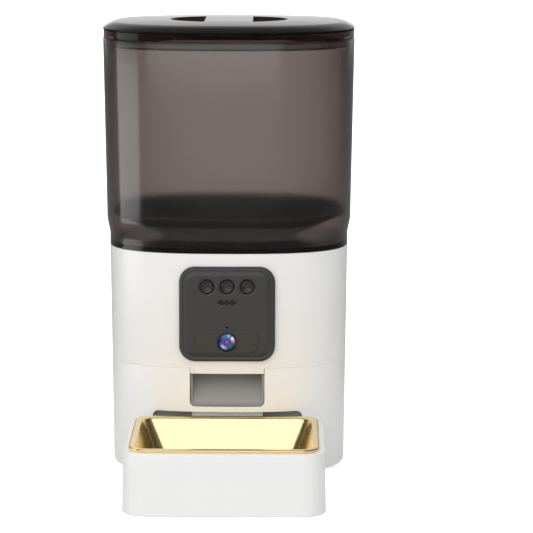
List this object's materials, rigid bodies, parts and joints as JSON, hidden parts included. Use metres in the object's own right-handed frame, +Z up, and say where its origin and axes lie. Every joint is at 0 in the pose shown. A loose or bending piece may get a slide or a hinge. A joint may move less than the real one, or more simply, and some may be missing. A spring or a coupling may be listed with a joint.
{
  "type": "automatic pet feeder",
  "caption": "Free-standing automatic pet feeder: smoked food tank with lift-off lid, rotor doser, chute, camera panel with buttons, and a pull-out tray with a gold steel bowl.",
  "frame": {"origin": "on the floor, under the middle of the whole outline", "axes": "+Z up, -Y to the front where the bowl is, +X to the right seen from the front"},
  "size_m": [0.1992, 0.2688, 0.3562],
  "materials": {
    "white_plastic": "smooth satin white moulding",
    "base_plastic": "fine spark texture",
    "smoked_plastic": "smoked brown, slightly frosted",
    "dark_plastic": "dark matt moulding",
    "lid_plastic": "glossy black",
    "panel_plastic": "charcoal, fine matt texture",
    "button_plastic": "charcoal, dished faces",
    "window_plastic": "infrared-clear dark window",
    "grey_plastic": "grey moulding",
    "gear_plastic": "natural acetal",
    "inlet_plastic": "black socket",
    "gold_steel": "polished gold-coloured stainless steel",
    "lens_glass": "coated lens",
    "circuit_board": "green solder mask",
    "bright_steel": "zinc-plated steel",
    "bush_bronze": "sintered bronze",
    "foot_rubber": "soft grey rubber",
    "tip_silicone": "soft orange silicone",
    "seal_silicone": "translucent grey silicone"
  },
  "bodies": {
    "base": {"base_plate": "base_plastic", "feet": "foot_rubber", "base_screws": "bright_steel", "battery_box": "dark_plastic", "battery_contacts": "bright_steel", "main_board": "circuit_board", "wireless_module": "bright_steel", "lower_shell": "white_plastic", "power_inlet": "inlet_plastic", "upper_shell": "white_plastic", "case_screws": "bright_steel", "front_panel": "panel_plastic", "panel_screws": "bright_steel", "infrared_window": "window_plastic", "lens_bezel": "panel_plastic", "lens_glass": "lens_glass", "lens_barrel": "dark_plastic", "camera_board": "circuit_board", "infrared_lamps": "lens_glass", "button_board": "circuit_board", "tact_switches": "grey_plastic", "speaker": "dark_plastic", "microphone": "bright_steel", "deck": "grey_plastic", "deck_screws": "bright_steel", "upper_bush": "bush_bronze", "lower_bush": "bush_bronze", "motor_plate": "bright_steel", "plate_screws": "bright_steel", "motor": "bright_steel", "motor_screws": "bright_steel", "chute": "grey_plastic", "chute_screws": "bright_steel"},
    "battery_cover": {"battery_cover": "base_plastic"},
    "button_left": {"button_left": "button_plastic"},
    "button_middle": {"button_middle": "button_plastic"},
    "button_right": {"button_right": "button_plastic"},
    "pinion": {"pinion": "gear_plastic", "motor_shaft": "bright_steel"},
    "drive": {"drive_gear": "gear_plastic", "drive_shaft": "bright_steel"},
    "tank": {"tank": "smoked_plastic", "funnel": "dark_plastic", "rotor_housing": "dark_plastic", "housing_screws": "bright_steel", "outlet_baffle": "dark_plastic"},
    "rotor": {"rotor": "grey_plastic", "paddle_tips": "tip_silicone", "agitator": "grey_plastic"},
    "lid": {"lid": "lid_plastic", "lid_seal": "seal_silicone"},
    "tray": {"bowl_tray": "white_plastic"},
    "bowl": {"bowl": "gold_steel"}
  },
  "joints": [
    {"name": "tank_lift", "type": "slide", "parent": "base", "child": "tank", "axis": [0, 0, 1], "range_m": [0, 0.06]},
    {"name": "lid_lift", "type": "slide", "parent": "tank", "child": "lid", "axis": [0, 0, 1], "range_m": [0, 0.06]},
    {"name": "rotor_spin", "type": "hinge", "parent": "tank", "child": "rotor", "pos_m": [0, 0.07276, 0.128], "axis": [0, 0, 1], "continuous": true},
    {"name": "drive_spin", "type": "hinge", "parent": "base", "child": "drive", "pos_m": [0, 0.07276, 0.128], "axis": [0, 0, 1], "continuous": true},
    {"name": "pinion_spin", "type": "hinge", "parent": "base", "child": "pinion", "pos_m": [0, 0.09516, 0.128], "axis": [0, 0, 1], "continuous": true},
    {"name": "tray_pull", "type": "slide", "parent": "base", "child": "tray", "axis": [0, -1, 0], "range_m": [0, 0.06]},
    {"name": "bowl_lift", "type": "slide", "parent": "tray", "child": "bowl", "axis": [0, 0, 1], "range_m": [0, 0.04]},
    {"name": "battery_cover_hinge", "type": "hinge", "parent": "base", "child": "battery_cover", "pos_m": [0, 0.05502, 0.0045], "axis": [-1, 0, 0], "range_deg": [0, 100]},
    {"name": "button_left_press", "type": "slide", "parent": "base", "child": "button_left", "axis": [0, 1, 0], "range_m": [0, 0.0008], "stiffness_N_per_m": 800},
    {"name": "button_middle_press", "type": "slide", "parent": "base", "child": "button_middle", "axis": [0, 1, 0], "range_m": [0, 0.0008], "stiffness_N_per_m": 800},
    {"name": "button_right_press", "type": "slide", "parent": "base", "child": "button_right", "axis": [0, 1, 0], "range_m": [0, 0.0008], "stiffness_N_per_m": 800}
  ],
  "couplings": [
    {"joint": "drive_spin", "follows": "rotor_spin", "ratio": 1},
    {"joint": "pinion_spin", "follows": "rotor_spin", "ratio": -2.5}
  ]
}
